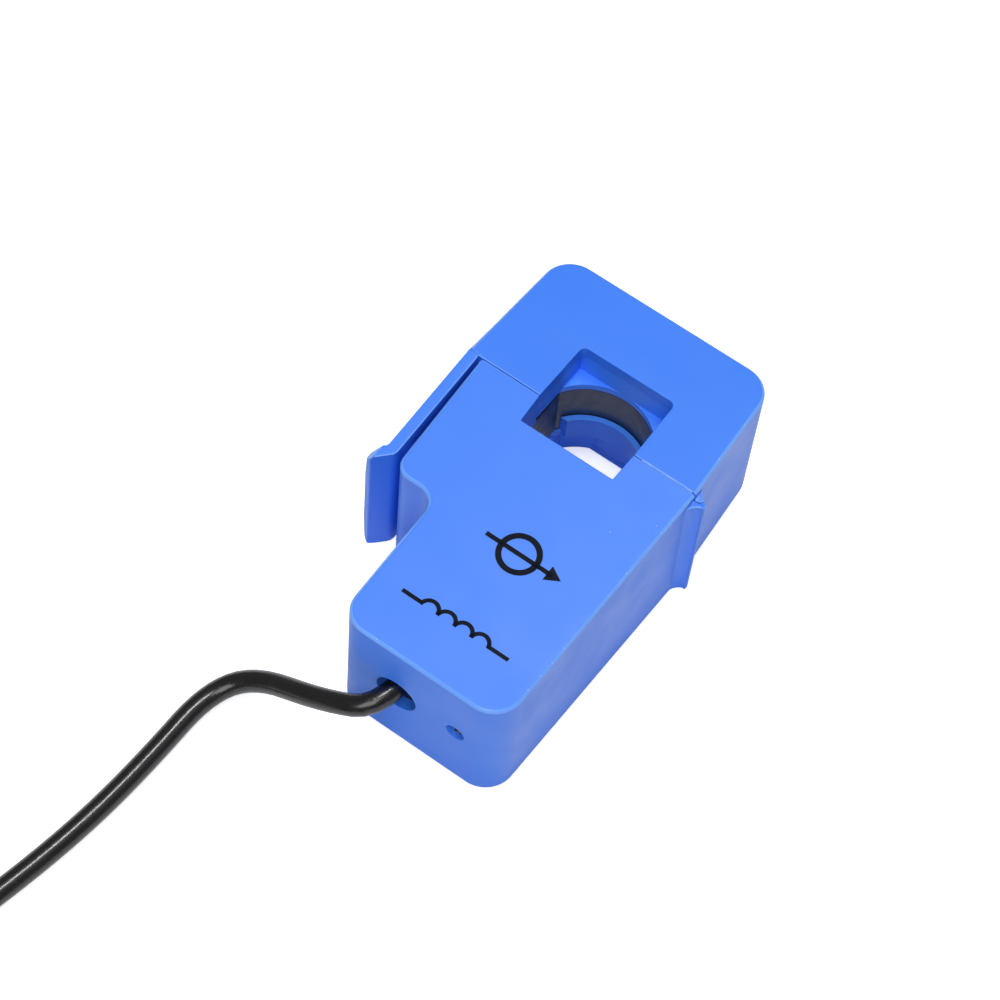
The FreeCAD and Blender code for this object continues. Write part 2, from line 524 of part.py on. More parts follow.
# Terminal board with the clamp diode and the pins that the winding's ends are soldered to.
def makeBoard():
    body = newBody("terminal_board")
    plan = outline(body, "board_plan", "XY_Plane", [
        ("-board_left", "-board_near"), ("board_right", "-board_near"), ("board_right", "-board_top"),
        ("-board_left", "-board_top")], "board_low")
    pad(body, plan, "board")
    body = newBody("terminal_pins")
    for name, x in (("pin_left", "pin_left_x"), ("pin_right", "pin_right_x")):
        pad(body, circle(body, name, "XY_Plane", x, "-pin_y", "pin", "board_low + board"), "pin_tall")
    body = newBody("clamp_diode")
    level = "board_low + board + diode"
    profile = outline(body, "diode_profile", "XZ_Plane", [
        ("diode_x - diode_half", level), ("diode_x - diode_half", f"{level} + diode"),
        ("diode_x + diode_half", f"{level} + diode"), ("diode_x + diode_half", level)], "diode_y")
    turn = body.newObject("PartDesign::Revolution", "diode_body")
    turn.Profile = profile
    turn.ReferenceAxis = (profile, ["Edge4"])
    turn.Angle = 360
    body.Tip = turn
    doc.recompute()
    for name, start in (("diode_lead_left", "diode_x - diode_half - diode_reach"),
                        ("diode_lead_right", "diode_x + diode_half - sunk")):
        pad(body, circle(body, name, "YZ_Plane", "-diode_y", level, "diode_lead", start), "diode_reach + sunk")
    for name, x in (("diode_foot_left", "diode_x - diode_half - diode_reach + diode_lead"),
                    ("diode_foot_right", "diode_x + diode_half + diode_reach - diode_lead")):
        foot = circle(body, name, "XY_Plane", x, "-diode_y", "diode_lead", "board_low + board")
        pad(body, foot, "diode + diode_lead")


# Cord clamp: a block behind the end wall that grips the cord and is pulled in by one screw.
def makeClamp():
    body = newBody("cord_clamp")
    plan = outline(body, "clamp_plan", "XY_Plane", [
        ("-clamp_left", "-near + skin + clamp_play"), ("clamp_right", "-near + skin + clamp_play"),
        ("clamp_right", "-clamp_top"), ("-clamp_left", "-clamp_top")], "clamp_low")
    pad(body, plan, "clamp_high - clamp_low")
    pocket(body, circle(body, "clamp_bore", "XZ_Plane", "cord_x", "cord_z", "cord + cord_play", "clamp_top - 1"),
           "near", back=True)
    pocket(body, circle(body, "clamp_screw_bore", "XZ_Plane", "screw_x", "screw_z", "shank", "clamp_top - 1"),
           "near", back=True)
    slot = outline(body, "clamp_slot", "XZ_Plane", [
        ("cord_x - clamp_slit", "cord_z"), ("cord_x + clamp_slit", "cord_z"),
        ("cord_x + clamp_slit", "clamp_high + 1"), ("cord_x - clamp_slit", "clamp_high + 1")], "clamp_top - 1")
    pocket(body, slot, "near", back=True)
    body = newBody("clamp_screw")
    profile = outline(body, "screw_profile", "YZ_Plane", [
        ("-near + screw_sink", "screw_z"), ("-near + screw_sink - head_tall", "screw_z"),
        ("-near + screw_sink - head_tall", "screw_z + screw_head * 0.8"),
        ("-near + screw_sink - head_tall * 0.6", "screw_z + screw_head"),
        ("-near + screw_sink", "screw_z + screw_head"), ("-near + screw_sink", "screw_z + shank"),
        ("-near + screw_sink + screw_long - shank", "screw_z + shank"),
        ("-near + screw_sink + screw_long", "screw_z + shank / 6"),
        ("-near + screw_sink + screw_long", "screw_z")], "screw_x")
    turn = body.newObject("PartDesign::Revolution", "screw_body")
    turn.Profile = profile
    turn.ReferenceAxis = (profile, ["Edge9"])
    turn.Angle = 360
    body.Tip = turn
    doc.recompute()


def bend(points):
    """Straight runs joined by tangent arcs; returns the wire and prints the arcs' radii."""
    spots = [vector(*point) + axes for point in points]
    edges = []
    radii = []
    start = spots[0]
    for before, corner, after in zip(spots, spots[1:], spots[2:]):
        into = (corner - before).normalize()
        out = (after - corner).normalize()
        half = into.getAngle(out) / 2
        reach = 0.45 * min((corner - before).Length, (after - corner).Length)
        radius = reach / math.tan(half)
        radii.append(round(radius, 1))
        first = corner - into * reach
        last = corner + out * reach
        middle = corner + (out - into).normalize() * (radius / math.cos(half) - radius)
        edges.append(Part.makeLine(start, first))
        edges.append(Part.Arc(first, middle, last).toShape())
        start = last
    edges.append(Part.makeLine(start, spots[-1]))
    return Part.Wire(edges), radii


def tube(name, points, radius):
    """A plain round tube along bent runs, as a sweep of a circle whose size is in the sheet."""
    wire, radii = bend(points)
    path = doc.addObject("Part::Feature", name + "_path")
    path.Shape = wire
    section = doc.addObject("Part::Circle", name + "_section")
    section.setExpression("Radius", bound(radius))
    heading = (vector(*points[1]) - vector(*points[0])).normalize()
    section.Placement = FreeCAD.Placement(vector(*points[0]) + axes, FreeCAD.Rotation(vector(0, 0, 1), heading))
    sweep = doc.addObject("Part::Sweep", name)
    sweep.Label = name
    sweep.Sections = [section]
    sweep.Spine = (path, [f"Edge{n}" for n in range(1, len(wire.Edges) + 1)])
    sweep.Solid = True
    doc.recompute()
    expected = wire.Length * math.pi * number(radius) ** 2
    share = sweep.Shape.Volume / expected
    print(f"{name}: length {wire.Length:.1f} mm, radii {radii}, volume share {share:.4f}")
    nodes.append(sweep)
    return sweep


# Routes of the cord and the wires about the drawing axes: the cord runs from inside the clamp through the
# end wall to the coil, and from the coil to the plug.
inside_end = number("-clamp_top")
wall = number("-near")
cord_x = number("cord_x")
cord_z = number("cord_z")
cord_route = [
    (cord_x, inside_end, cord_z), (cord_x, wall - 2.7, cord_z), (-7.525, -42.5, 8.2), (-15.725, -42.9, 3.4),
    (-20.925, -48.8, 1.4), (-20.625, -57.4, 1.4), (-20.825, -67.4, 1.4), (-22.525, -77.4, 1.4),
    (-25.125, -89.4, 1.4), (-27.325, -102.4, 1.4), (-27.525, -115.4, 1.4)]
tail_route = [(3.975, -130.1, 6.2), (9.575, -122.3, 6.2), (12.675, -113.8, 4.0), (14.775, -108.0, 4.0)]
pin_top = number("board_low + board")
wire_routes = {
    "lead_start": ([(-4.925, -16.95, 9.4), (-5.225, -18.8, 9.2), (-3.625, -20.6, 8.3)], "lead"),
    "lead_finish": ([(5.275, -16.95, 9.4), (5.675, -18.8, 9.2), (6.775, -20.6, 8.3)], "lead"),
    "conductor_red": ([(-0.475, inside_end + 0.15, cord_z), (-1.125, -28.4, 10.6), (-2.225, -28.3, pin_top + 0.15)],
                      "conductor"),
    "conductor_white": ([(0.675, inside_end + 0.2, cord_z), (1.575, -28.4, 10.6), (3.575, -28.3, pin_top + 0.25)],
                        "conductor"),
}


# Coil: the outer shape of the put-away cord, and the tie round it.
def makeCoil():
    body = newBody("cord_coil", "coil_x", "coil_y")
    profile = outline(body, "coil_profile", "XZ_Plane", [
        ("coil_inner", "0"), ("coil_outer", "0"), ("coil_outer", "coil_tall"), ("coil_inner", "coil_tall")])
    turn = body.newObject("PartDesign::Revolution", "coil_ring")
    turn.Profile = profile
    turn.ReferenceAxis = (profile, ["V_Axis"])
    turn.Angle = 360
    body.Tip = turn
    doc.recompute()
    body = newBody("coil_tie", "coil_x", "coil_y")
    strap = outline(body, "tie_strap", "YZ_Plane", [
        ("coil_inner - tie", "0"), ("coil_outer + tie", "0"), ("coil_outer + tie", "coil_tall + tie"),
        ("coil_inner - tie", "coil_tall + tie")])
    pad(body, strap, "tie_wide", middle=True)
    room = outline(body, "tie_room", "YZ_Plane", [
        ("coil_inner", "tie"), ("coil_outer", "tie"), ("coil_outer", "coil_tall"), ("coil_inner", "coil_tall")])
    pocket(body, room, "tie_wide * 2", middle=True)


# Stereo plug, drawn along its own +X from the end of the cord: stations and radii of each turned piece.
def makePlug():
    profiles = {
        "plug_boot": [("0", "boot_thin"), ("boot_long", "boot_thick")],
        "plug_handle": [
            ("boot_long", "handle - handle_edge"), ("boot_long + handle_edge", "handle"),
            ("handle_end - handle_edge", "handle"), ("handle_end", "handle - handle_edge")],
        "plug_collar": [("handle_end", "collar"), ("collar_end", "collar")],
        "plug_sleeve": [("collar_end", "contact"), ("sleeve_end", "contact")],
        "plug_ring_gap": [("sleeve_end", "insulator"), ("ring_start", "insulator")],
        "plug_ring": [("ring_start", "contact"), ("ring_end", "contact")],
        "plug_tip_gap": [("ring_end", "insulator"), ("tip_start", "insulator")],
        "plug_tip": [
            ("tip_start", "contact"), ("tip_start + tip_long / 6", "contact"), ("tip_start + tip_long / 3", "tip_neck"),
            ("tip_stop - tip_long * 0.42", "tip_bulge"), ("tip_stop", "tip_end")],
    }
    for name, profile in profiles.items():
        body = newBody(name, "plug_x", "plug_y", "plug_z")
        body.Placement.Rotation = FreeCAD.Rotation(vector(0, 0, 1), number("plug_turn"))
        corners = [(profile[0][0], "0")] + profile + [(profile[-1][0], "0")]
        sketch = outline(body, name + "_profile", "XY_Plane", corners)
        turn = body.newObject("PartDesign::Revolution", name + "_turned")
        turn.Profile = sketch
        turn.ReferenceAxis = (sketch, ["H_Axis"])
        turn.Angle = 360
        body.Tip = turn
        doc.recompute()


makeHousing()
makeBodyFrame()
makeCores()
makeBobbin()
makeWinding()
makeBoard()
makeClamp()
makeCap()
makeCapFrame()
makeSpring()
for name, (points, radius) in wire_routes.items():
    tube(name, points, radius)
tube("cord", cord_route, "cord")
tube("cord_tail", tail_route, "cord")
makeCoil()
makePlug()
doc.recompute()
for thing in doc.Objects:
    if "Invalid" in thing.State or "Error" in thing.State:
        print("BAD", thing.Name, thing.State)
for node in nodes:
    shape = node.Shape
    if shape.isNull() or not shape.isValid():
        print("BAD shape", node.Label)
    print(f"{node.Label:16s} {shape.Volume:9.1f} mm3, solids {len(shape.Solids)}, {shape.BoundBox}")
    shape.exportStep(f"parts/{node.Label}.step")
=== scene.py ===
# Split-core current transformer: clip-on blue shell with a ferrite core, black cord and plug.
import math

import bpy
from mathutils import Matrix, Vector


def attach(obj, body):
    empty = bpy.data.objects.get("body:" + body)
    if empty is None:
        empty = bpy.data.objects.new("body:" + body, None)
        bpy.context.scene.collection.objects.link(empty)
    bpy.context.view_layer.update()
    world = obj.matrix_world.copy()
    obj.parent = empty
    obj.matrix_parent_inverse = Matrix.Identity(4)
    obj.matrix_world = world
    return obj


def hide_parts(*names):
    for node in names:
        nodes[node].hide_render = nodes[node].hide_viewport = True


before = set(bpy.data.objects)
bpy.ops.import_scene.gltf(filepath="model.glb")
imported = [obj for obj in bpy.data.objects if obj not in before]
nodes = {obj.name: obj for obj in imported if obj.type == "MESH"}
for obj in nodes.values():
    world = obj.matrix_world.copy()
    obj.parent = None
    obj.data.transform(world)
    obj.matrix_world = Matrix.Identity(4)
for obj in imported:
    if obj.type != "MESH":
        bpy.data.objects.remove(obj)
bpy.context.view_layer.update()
mm = 0.001
windowAxis = (0.85, 9.4)  # where the window's axis meets the seam, in millimetres


def toLinear(hexText):
    channels = [int(hexText[i:i + 2], 16) / 255 for i in (1, 3, 5)]
    return [c / 12.92 if c <= 0.04045 else ((c + 0.055) / 1.055) ** 2.4 for c in channels] + [1.0]


def addNode(tree, kind, settings=None, links=None):
    node = tree.nodes.new(kind)
    for name, value in (settings or {}).items():
        if isinstance(name, int) or name in node.inputs:
            node.inputs[name].default_value = value
        else:
            setattr(node, name, value)
    for name, source in (links or {}).items():
        tree.links.new(source, node.inputs[name])
    return node


def startMaterial(name):
    material = bpy.data.materials.new(name)
    material.use_nodes = True
    tree = material.node_tree
    tree.nodes.clear()
    return material, tree


def finishMaterial(tree, settings, links):
    paint = addNode(tree, "ShaderNodeBsdfPrincipled", settings, links)
    addNode(tree, "ShaderNodeOutputMaterial", links={"Surface": paint.outputs[0]})


def surfaceGrain(tree, place, size, depth):
    # bumps of one size and depth, both in millimetres
    noise = addNode(tree, "ShaderNodeTexNoise", {"Scale": 1 / (size * mm), "Detail": 2.0}, {"Vector": place})
    return addNode(tree, "ShaderNodeBump", {"Strength": 1.0, "Distance": depth * mm},
                   {"Height": noise.outputs[0]}).outputs[0]


def uneven(tree, place, size, low, high):
    # a number that drifts between low and high over patches of one size in millimetres
    noise = addNode(tree, "ShaderNodeTexNoise", {"Scale": 1 / (size * mm), "Detail": 3.0}, {"Vector": place})
    return addNode(tree, "ShaderNodeMapRange",
                   {"From Min": 0.3, "From Max": 0.7, "To Min": low, "To Max": high},
                   {"Value": noise.outputs[0]}).outputs[0]


def twoTone(tree, place, size, colour, otherColour):
    # two near tones mixed over patches of one size in millimetres
    noise = addNode(tree, "ShaderNodeTexNoise", {"Scale": 1 / (size * mm), "Detail": 3.0}, {"Vector": place})
    return addNode(tree, "ShaderNodeMixRGB", {"Color1": toLinear(colour), "Color2": toLinear(otherColour)},
                   {"Fac": noise.outputs[0]}).outputs[0]


def makeFinish(name, look):
    # a material from the table of its look: shader settings, two tones, gloss and grain, each over its own size
    material, tree = startMaterial(name)
    place = addNode(tree, "ShaderNodeTexCoord").outputs["Object"]
    links = {"Base Color": twoTone(tree, place, look["toneSize"], *look["colours"]),
             "Roughness": uneven(tree, place, look["glossSize"], *look["roughness"])}
    if "grain" in look:
        links["Normal"] = surfaceGrain(tree, place, *look["grain"])
    finishMaterial(tree, look["settings"], links)
    return material


def deselectAll():
    if bpy.context.mode != "OBJECT":
        bpy.ops.object.mode_set(mode="OBJECT")
    bpy.ops.object.select_all(action="DESELECT")


def useOnly(piece):
    deselectAll()
    piece.select_set(True)
    bpy.context.view_layer.objects.active = piece


def cutAway(piece, cutter):
    useOnly(piece)
    cut = piece.modifiers.new("cut", "BOOLEAN")
    cut.object = cutter
    cut.operation = "DIFFERENCE"
    cut.solver = "EXACT"
    bpy.ops.object.modifier_apply(modifier="cut")
    bpy.data.objects.remove(cutter)


def easeEdges(piece, width, segments, smoothBelow):
    # small round edges on a piece with square ones; smooth shading up to an angle in degrees
    ease = piece.modifiers.new("ease", "BEVEL")
    ease.width = width * mm
    ease.segments = segments
    ease.limit_method = "ANGLE"
    bpy.ops.object.modifier_apply(modifier="ease")
    bpy.ops.object.shade_smooth_by_angle(angle=math.radians(smoothBelow))


def dress(material, *names):
    for name in names:
        nodes[name].data.materials.clear()
        nodes[name].data.materials.append(material)


# Camera: the photograph is taken from above, over the cord's end, with a long lens.
cameraSettings = {"place": (0.087475, -0.15981, 0.33633), "focalPixels": 3082.9,
                  "right": (0.812438, 0.580388, 0.055619), "down": (0.528674, -0.693088, -0.490034),
                  "forward": (-0.24586, 0.427527, -0.869927), "sensor": 36, "pictureWidth": 1000,
                  "nearest": 0.01, "farthest": 20}


def makeCamera():
    deselectAll()
    bpy.ops.object.camera_add(location=cameraSettings["place"])
    camera = bpy.context.object
    right = Vector(cameraSettings["right"])
    up = -Vector(cameraSettings["down"])
    back = -Vector(cameraSettings["forward"])
    turn = Matrix((right, up, back)).transposed().to_4x4()
    camera.matrix_world = Matrix.Translation(cameraSettings["place"]) @ turn
    camera.data.sensor_width = cameraSettings["sensor"]
    camera.data.lens = cameraSettings["focalPixels"] * cameraSettings["sensor"] / cameraSettings["pictureWidth"]
    camera.data.clip_start = cameraSettings["nearest"]
    camera.data.clip_end = cameraSettings["farthest"]
    bpy.context.scene.camera = camera


makeCamera()
print("camera set")

# Studio: white table and surround, a large soft lamp above, a lower one that shines into the window from the
# cord's side, and a narrow strip overhead that draws the bright line along the cord.
studio = {"tableColour": "#F4F4F4", "tableGlow": 0.62, "tableSize": 6, "tableAt": (0, 0, -0.00001),
          "surround": 0.22, "aim": (0, 0, 0.01),
          "lamps": {"topLamp": ((0.10, 0.16, 0.80), (0.9, 0.9), 0.8),
                    "frontLamp": ((0.16, -0.48, 0.62), (0.5, 0.5), 2.4),
                    "stripLamp": ((-0.01, 0.06, 0.62), (0.085, 0.4), 1.9)}}


def makeStudio():
    deselectAll()
    bpy.ops.mesh.primitive_plane_add(size=studio["tableSize"], location=studio["tableAt"])
    table = bpy.context.object
    table.name = "table"
    bpy.ops.object.transform_apply(location=True)
    material, tree = startMaterial("whiteTable")
    path = addNode(tree, "ShaderNodeLightPath")
    white = addNode(tree, "ShaderNodeBsdfDiffuse", {"Color": toLinear(studio["tableColour"])})
    glow = addNode(tree, "ShaderNodeEmission", {"Color": toLinear("#FFFFFF"), "Strength": studio["tableGlow"]})
    brighter = addNode(tree, "ShaderNodeAddShader", links={0: white.outputs[0], 1: glow.outputs[0]})
    seen = addNode(tree, "ShaderNodeMixShader",
                   links={0: path.outputs["Is Camera Ray"], 1: white.outputs[0], 2: brighter.outputs[0]})
    addNode(tree, "ShaderNodeOutputMaterial", links={"Surface": seen.outputs[0]})
    table.data.materials.append(material)
    world = bpy.data.worlds.new("surround")
    world.use_nodes = True
    tree = world.node_tree
    tree.nodes.clear()
    path = addNode(tree, "ShaderNodeLightPath")
    light = addNode(tree, "ShaderNodeBackground",
                    {"Color": toLinear("#FFFFFF"), "Strength": studio["surround"]})
    plain = addNode(tree, "ShaderNodeBackground", {"Color": toLinear("#FFFFFF"), "Strength": 1.0})
    either = addNode(tree, "ShaderNodeMath", {"operation": "MAXIMUM"},
                     {0: path.outputs["Is Camera Ray"], 1: path.outputs["Is Transmission Ray"]})
    mixed = addNode(tree, "ShaderNodeMixShader",
                    links={0: either.outputs[0], 1: light.outputs[0], 2: plain.outputs[0]})
    addNode(tree, "ShaderNodeOutputWorld", links={"Surface": mixed.outputs[0]})
    bpy.context.scene.world = world
    for name, (place, size, strength) in studio["lamps"].items():
        bpy.ops.object.light_add(type="AREA", location=place)
        lamp = bpy.context.object
        lamp.name = name
        lamp.data.shape = "RECTANGLE"
        lamp.data.size, lamp.data.size_y = size
        lamp.data.energy = strength
        lamp.rotation_euler = (Vector(studio["aim"]) - Vector(place)).to_track_quat("-Z", "Y").to_euler()
    bpy.context.scene.view_settings.view_transform = "Standard"


makeStudio()
print("studio set")

# Cord: soft black jacket, out of the shell's end, along the table, then put away in a neat coil.
# The route is given about the window's axis, in millimetres.
cord = {"diameter": 2.8, "exit": (0.1, -37.9, 10.9), "turnPoints": 16, "length": 0.9,
        "route": [(0.1, -31.2, 10.9), (0.1, -40.4, 10.9), (-7.0, -42.7, 8.2), (-16.9, -43.1, 3.4),
                  (-20.6, -47.9, 1.4), (-20.7, -57.5, 1.4), (-21.3, -67.3, 1.4), (-22.85, -77.4, 1.4),
                  (-25.5, -89.3, 1.4), (-27.3, -102.4, 1.4)],
        "tail": [(12.675, -113.8, 4.0), (14.775, -108.0, 4.0)],
        "coilCentre": (-8.325, -115.4), "outerRadius": 19.2, "layerTurns": 4, "turns": 9.42,
        "roundSteps": 6, "curveSteps": 6, "order": 3}


def coilPoint(turn):
    # radius and height after so many turns: in along the table, up and out again, then up once more to the end
    pitch = cord["diameter"]
    outer = cord["outerRadius"]
    layer = cord["layerTurns"]
    inner = outer - layer * pitch
    low = pitch / 2
    if turn < layer:
        return outer - pitch * turn, low
    if turn < layer + 1:
        part = turn - layer
        return inner, low + pitch * math.sqrt(part * (2 - part))
    if turn < 2 * layer + 1:
        return inner + pitch * (turn - layer - 1), low + pitch
    part = turn - 2 * layer - 1
    return outer, low + pitch * (1 + math.sqrt(part * (2 - part)))


def fromWindow(point):
    return Vector(((point[0] + windowAxis[0]) * mm, (point[1] + windowAxis[1]) * mm, point[2] * mm))


def makeCord():
    points = list(cord["route"])
    step = 1 / cord["turnPoints"]
    swell = 1 / math.cos(math.pi / cord["turnPoints"])
    turn = 0.0
    while turn < cord["turns"] + 1e-6:
        radius, height = coilPoint(turn)
        angle = math.radians(180 + 360 * turn)
        points.append((cord["coilCentre"][0] + radius * swell * math.cos(angle),
                       cord["coilCentre"][1] + radius * swell * math.sin(angle), height))
        turn += step
    points += cord["tail"]
    curve = bpy.data.curves.new("cordJacket", "CURVE")
    curve.dimensions = "3D"
    curve.bevel_depth = cord["diameter"] / 2 * mm
    curve.bevel_resolution = cord["roundSteps"]
    curve.resolution_u = cord["curveSteps"]
    curve.use_fill_caps = True
    line = curve.splines.new("NURBS")
    line.points.add(len(points) - 1)
    for point, place in zip(line.points, points):
        point.co = (*fromWindow(place), 1)
    line.order_u = cord["order"]
    line.use_endpoint_u = True
    piece = bpy.data.objects.new("cordJacket", curve)
    bpy.context.scene.collection.objects.link(piece)
    return piece


# Soft PVC, extruded: near black, a sharp gloss along it that the uneven skin breaks up.
cordFinish = {"settings": {"IOR": 1.52, "Coat Weight": 0.4, "Coat Roughness": 0.2},
              "colours": ("#0A0A0C", "#131316"), "toneSize": 3, "roughness": (0.16, 0.3), "glossSize": 0.6,
              "grain": (0.34, 0.016)}

cordJacket = makeCord()
cordJacket.data.materials.append(makeFinish("extrudedBlackJacket", cordFinish))
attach(cordJacket, "housing_body")
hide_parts("cord", "cord_coil", "cord_tail")
print("cord laid")

# Shells: copies of the two mouldings with their corners eased, as they leave the tool. The rim, which is the
# chamfer between the top face and the outer walls, gets a painted highlight of paler blue, and the inner
# frames are duller, with a paler blue as painted light inside the window.
shellBlue = {"toneSize": 11, "glossSize": 6, "grain": (0.18, 0.0025), "speckColour": "#C9DCFF", "IOR": 1.5}
shellLook = {"colours": ("#3A81F7", "#347BF3"), "cell": 3.4, "speck": 0.016, "roughness": (0.34, 0.46),
             "shine": 0.5}
# the rim's blue, paler than the shell: a painted highlight along the top edges
rimHighlightLook = {"colours": ("#7AB0FF", "#5E9AFF"), "cell": 0.8, "speck": 0.09, "roughness": (0.26, 0.36),
           "shine": 0.5}
# the frames' blue, paler than the shell: painted light inside the window
framePaintedLightLook = {"colours": ("#4C94FF", "#448CFF"), "cell": 3.4, "speck": 0.016, "roughness": (0.34, 0.46),
             "shine": 0.3}
rim = {"level": 20.2, "tilt": (0.2, 0.95), "windowReach": (8.5, 12.0)}
easing = {"mergeWithin": 0.002, "flatBelow": 0.3, "shellWidth": 0.11, "above": 36, "segments": 2,
          "smoothBelow": 40}


def makeShellMaterial(name, look):
    # ABS, moulded in a finely eroded tool: one even blue, a soft sheen, a fine grain and a few specks of dust;
    # the rim's paler, smoother copy with more specks is a painted highlight, and the frames' paler copy is
    # painted light
    material, tree = startMaterial(name)
    place = addNode(tree, "ShaderNodeTexCoord").outputs["Object"]
    blue = twoTone(tree, place, shellBlue["toneSize"], *look["colours"])
    cells = addNode(tree, "ShaderNodeTexVoronoi", {"Scale": 1 / (look["cell"] * mm)}, {"Vector": place})
    speck = addNode(tree, "ShaderNodeMath", {"operation": "LESS_THAN", 1: look["speck"]},
                    {0: cells.outputs["Distance"]})
    dusty = addNode(tree, "ShaderNodeMixRGB", {"Color2": toLinear(shellBlue["speckColour"])},
                    {"Fac": speck.outputs[0], "Color1": blue})
    finishMaterial(tree, {"IOR": shellBlue["IOR"], "Specular IOR Level": look["shine"]}, {
        "Base Color": dusty.outputs[0],
        "Roughness": uneven(tree, place, shellBlue["glossSize"], *look["roughness"]),
        "Normal": surfaceGrain(tree, place, *shellBlue["grain"])})
    return material


def paintRimHighlight(piece):
    # gives the rim's faces the painted-highlight material, and leaves the faces round the window as they are
    reach = rim["windowReach"]
    flattest, steepest = rim["tilt"][1], rim["tilt"][0]
    for face in piece.data.polygons:
        x, y, z = face.center / mm
        inside = abs(x - windowAxis[0]) < reach[0] and abs(y - windowAxis[1]) < reach[1]
        if z > rim["level"] and steepest < face.normal.z < flattest and not inside:
            face.material_index = 1


def easedCopy(node, name, width, materials):
    # a copy of a solid's mesh, merged and with its flat faces whole, then with small round edges
    piece = bpy.data.objects.new(name, nodes[node].data.copy())
    bpy.context.scene.collection.objects.link(piece)
    piece.data.materials.clear()
    for material in materials:
        piece.data.materials.append(material)
    useOnly(piece)
    bpy.ops.object.mode_set(mode="EDIT")
    bpy.ops.mesh.select_all(action="SELECT")
    bpy.ops.mesh.remove_doubles(threshold=easing["mergeWithin"] * mm)
    bpy.ops.mesh.dissolve_limited(angle_limit=math.radians(easing["flatBelow"]))
    bpy.ops.object.mode_set(mode="OBJECT")
    ease = piece.modifiers.new("ease", "BEVEL")
    ease.width = width * mm
    ease.segments = easing["segments"]
    ease.limit_method = "ANGLE"
    ease.angle_limit = math.radians(easing["above"])
    ease.use_clamp_overlap = False
    ease.miter_outer = "MITER_ARC"
    bpy.ops.object.modifier_apply(modifier="ease")
    bpy.ops.object.shade_smooth_by_angle(angle=math.radians(easing["smoothBelow"]))
    flatten = piece.modifiers.new("flatten", "WEIGHTED_NORMAL")
    flatten.keep_sharp = True
    bpy.ops.object.modifier_apply(modifier="flatten")
    return piece


shellMaterial = makeShellMaterial("mouldedBlueShell", shellLook)
rimHighlightMaterial = makeShellMaterial("paintedHighlightBlueRim", rimHighlightLook)
framePaintedLightMaterial = makeShellMaterial("paintedLightBlueFrame", framePaintedLightLook)
for node, name, body in (("housing", "lowerShell", "housing_body"), ("cap", "upperShell", "cap_body")):
    shell = easedCopy(node, name, easing["shellWidth"], (shellMaterial, rimHighlightMaterial))
    paintRimHighlight(shell)
    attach(shell, body)
    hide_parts(node)
dress(framePaintedLightMaterial, "body_frame", "cap_frame")
print("shells eased")

# Window base: below the core the cap's window narrows to a round-backed opening.
windowBase = {"half": 6.9, "from": 5.0, "to": 9.2, "low": 0.3, "high": 5.4, "arch": 8.8, "archAt": 0.95,
              "archSides": 120, "cutterAt": 3, "cutterTall": 20, "ease": 0.08}


def makeWindowBase():
    deselectAll()
    base = windowBase
    middle = fromWindow((0, (base["from"] + base["to"]) / 2, (base["low"] + base["high"]) / 2))
    bpy.ops.mesh.primitive_cube_add(size=1, location=middle)
    piece = bpy.context.object
    piece.name = "windowBase"
    piece.scale = Vector((2 * base["half"], base["to"] - base["from"], base["high"] - base["low"])) * mm
    bpy.ops.object.transform_apply(location=True, scale=True)
    bpy.ops.mesh.primitive_cylinder_add(vertices=base["archSides"], radius=base["arch"] * mm,
                                        depth=base["cutterTall"] * mm,
                                        location=fromWindow((0, base["archAt"], base["cutterAt"])))
    cutAway(piece, bpy.context.object)
    easeEdges(piece, base["ease"], easing["segments"], easing["smoothBelow"])
    return piece


windowFoot = makeWindowBase()
# the frames' paler blue, painted light inside the window
windowFoot.data.materials.append(framePaintedLightMaterial)
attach(windowFoot, "cap_body")
print("window base made")

# Print on the sloping top face: a ring on a line for a transformer and a row of half loops for its winding.
printing = {"sunk": 0.01, "thick": 0.03, "top": 21.82, "slope": 0.78 / 37.9, "ringAt": (3.6, -19.0),
            "ring": 2.8, "ringStroke": 0.74, "ringSides": 64, "line": 9.4, "lineStroke": 0.6, "arrow": 1.25,
            "loopsAt": (3.0, -31.1), "loop": 1.45, "loopStroke": 0.52, "loops": 4, "lead": 2.5, "lap": 0.4}
# Pad printed ink: flat black, a little thin in places so that the blue shows through.
inkFinish = {"settings": {"IOR": 1.45, "Specular IOR Level": 0.1}, "colours": ("#080A10", "#10162A"),
             "toneSize": 0.5, "roughness": (0.45, 0.6), "glossSize": 1.5, "grain": (0.2, 0.003)}


def flatBar(centre, size):
    deselectAll()
    bpy.ops.mesh.primitive_plane_add(size=1, location=(centre[0] * mm, centre[1] * mm, 0))
    bar = bpy.context.object
    bar.scale = (size[0] * mm, size[1] * mm, 1)
    bpy.ops.object.transform_apply(location=True, scale=True)
    return bar


def flatArrow(tip, size):
    deselectAll()
    bpy.ops.mesh.primitive_circle_add(vertices=3, radius=size * mm, fill_type="NGON",
                                      location=((tip[0] - size) * mm, tip[1] * mm, 0),
                                      rotation=(0, 0, math.radians(-90)))
    arrow = bpy.context.object
    bpy.ops.object.transform_apply(location=True, rotation=True)
    return arrow


def flatRing(centre, radius, stroke, halfOnly=False):
    deselectAll()
    bpy.ops.mesh.primitive_circle_add(vertices=printing["ringSides"], radius=radius * mm, fill_type="NGON")
    ring = bpy.context.object
    bpy.ops.object.mode_set(mode="EDIT")
    bpy.ops.mesh.select_all(action="SELECT")
    bpy.ops.mesh.inset(thickness=stroke * mm)
    bpy.ops.mesh.delete(type="FACE")
    if halfOnly:
        bpy.ops.mesh.select_all(action="SELECT")
        bpy.ops.mesh.bisect(plane_co=(0, 0, 0), plane_no=(0, 1, 0), clear_inner=True)
    bpy.ops.object.mode_set(mode="OBJECT")
    ring.location = (centre[0] * mm, centre[1] * mm, 0)
    bpy.ops.object.transform_apply(location=True)
    return ring


